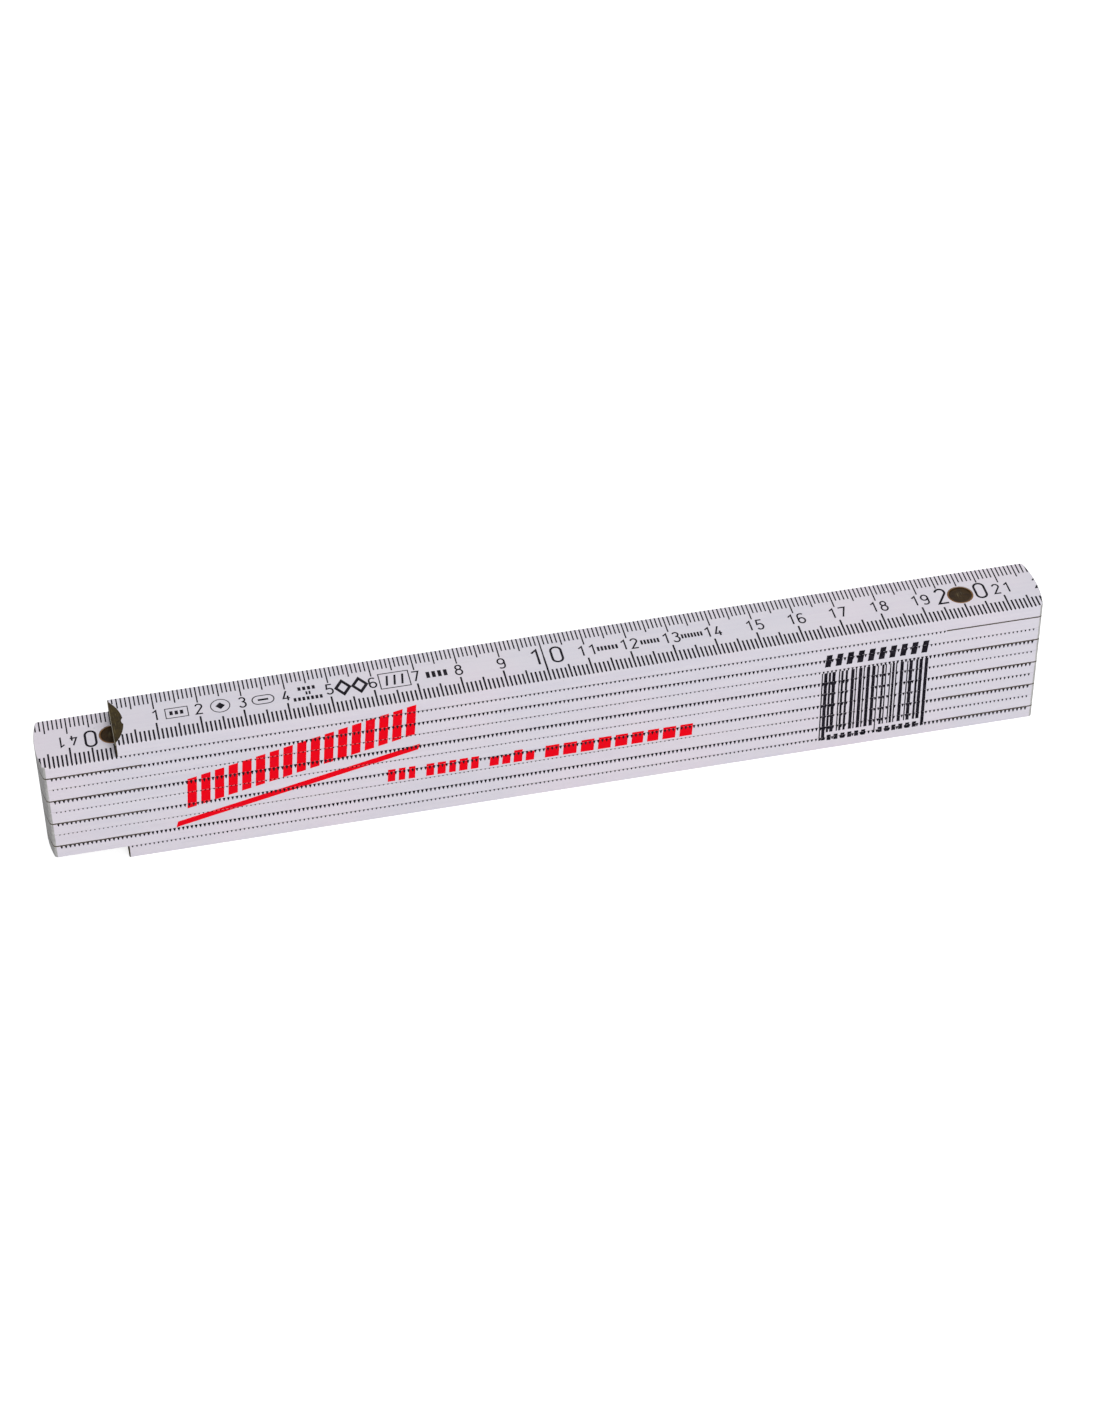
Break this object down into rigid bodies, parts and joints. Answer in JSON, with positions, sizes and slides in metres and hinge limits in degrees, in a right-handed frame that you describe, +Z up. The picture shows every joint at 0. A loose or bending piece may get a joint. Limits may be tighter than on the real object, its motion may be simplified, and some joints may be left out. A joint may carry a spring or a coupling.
{
  "type": "folding rule",
  "caption": "Wooden folding rule with white lacquered leaves, riveted pivot joints and brass end caps, folded flat.",
  "frame": {"origin": "middle of the folded stack's underside", "axes": "+X along the rule from the zero mark's end towards the far end, +Y across the leaves, +Z up through the stack, from the last leaf to the first"},
  "size_m": [0.2366, 0.016, 0.0347],
  "materials": {
    "lacquered_wood": "white satin lacquer on beech",
    "dark_brass": "darkened brass",
    "cap_brass": "dull aged brass",
    "spring_steel": "brass-plated spring steel",
    "nail_steel": "plain steel wire"
  },
  "bodies": {
    "section_01": {"leaf_01": "lacquered_wood", "plate_nails_01": "nail_steel", "pivot_rivet_01": "dark_brass", "closing_disc_01": "dark_brass", "detent_plate_01": "spring_steel", "zero_end_cap": "cap_brass"},
    "section_02": {"leaf_02": "lacquered_wood", "plate_nails_02": "nail_steel", "pivot_rivet_02": "dark_brass", "closing_disc_02": "dark_brass", "detent_plate_02": "spring_steel", "spring_plate_01": "spring_steel"},
    "section_03": {"leaf_03": "lacquered_wood", "plate_nails_03": "nail_steel", "pivot_rivet_03": "dark_brass", "closing_disc_03": "dark_brass", "detent_plate_03": "spring_steel", "spring_plate_02": "spring_steel"},
    "section_04": {"leaf_04": "lacquered_wood", "plate_nails_04": "nail_steel", "pivot_rivet_04": "dark_brass", "closing_disc_04": "dark_brass", "detent_plate_04": "spring_steel", "spring_plate_03": "spring_steel"},
    "section_05": {"leaf_05": "lacquered_wood", "plate_nails_05": "nail_steel", "pivot_rivet_05": "dark_brass", "closing_disc_05": "dark_brass", "detent_plate_05": "spring_steel", "spring_plate_04": "spring_steel"},
    "section_06": {"leaf_06": "lacquered_wood", "plate_nails_06": "nail_steel", "pivot_rivet_06": "dark_brass", "closing_disc_06": "dark_brass", "detent_plate_06": "spring_steel", "spring_plate_05": "spring_steel"},
    "section_07": {"leaf_07": "lacquered_wood", "plate_nails_07": "nail_steel", "pivot_rivet_07": "dark_brass", "closing_disc_07": "dark_brass", "detent_plate_07": "spring_steel", "spring_plate_06": "spring_steel"},
    "section_08": {"leaf_08": "lacquered_wood", "plate_nails_08": "nail_steel", "pivot_rivet_08": "dark_brass", "closing_disc_08": "dark_brass", "detent_plate_08": "spring_steel", "spring_plate_07": "spring_steel"},
    "section_09": {"leaf_09": "lacquered_wood", "plate_nails_09": "nail_steel", "pivot_rivet_09": "dark_brass", "closing_disc_09": "dark_brass", "detent_plate_09": "spring_steel", "spring_plate_08": "spring_steel"},
    "section_10": {"leaf_10": "lacquered_wood", "plate_nails_10": "nail_steel", "spring_plate_09": "spring_steel", "far_end_cap": "cap_brass"}
  },
  "joints": [
    {"name": "fold_01", "type": "hinge", "parent": "section_02", "child": "section_01", "pos_m": [0.0995, 0, 0], "axis": [0, 0, 1], "range_deg": [-180, 180]},
    {"name": "fold_02", "type": "hinge", "parent": "section_03", "child": "section_02", "pos_m": [-0.1005, 0, 0], "axis": [0, 0, 1], "range_deg": [-180, 180]},
    {"name": "fold_03", "type": "hinge", "parent": "section_04", "child": "section_03", "pos_m": [0.0995, 0, 0], "axis": [0, 0, 1], "range_deg": [-180, 180]},
    {"name": "fold_04", "type": "hinge", "parent": "section_05", "child": "section_04", "pos_m": [-0.1005, 0, 0], "axis": [0, 0, 1], "range_deg": [-180, 180]},
    {"name": "fold_05", "type": "hinge", "parent": "section_06", "child": "section_05", "pos_m": [0.0995, 0, 0], "axis": [0, 0, 1], "range_deg": [-180, 180]},
    {"name": "fold_06", "type": "hinge", "parent": "section_07", "child": "section_06", "pos_m": [-0.1005, 0, 0], "axis": [0, 0, 1], "range_deg": [-180, 180]},
    {"name": "fold_07", "type": "hinge", "parent": "section_08", "child": "section_07", "pos_m": [0.0995, 0, 0], "axis": [0, 0, 1], "range_deg": [-180, 180]},
    {"name": "fold_08", "type": "hinge", "parent": "section_09", "child": "section_08", "pos_m": [-0.1005, 0, 0], "axis": [0, 0, 1], "range_deg": [-180, 180]},
    {"name": "fold_09", "type": "hinge", "parent": "section_10", "child": "section_09", "pos_m": [0.0995, 0, 0], "axis": [0, 0, 1], "range_deg": [-180, 180]}
  ]
}
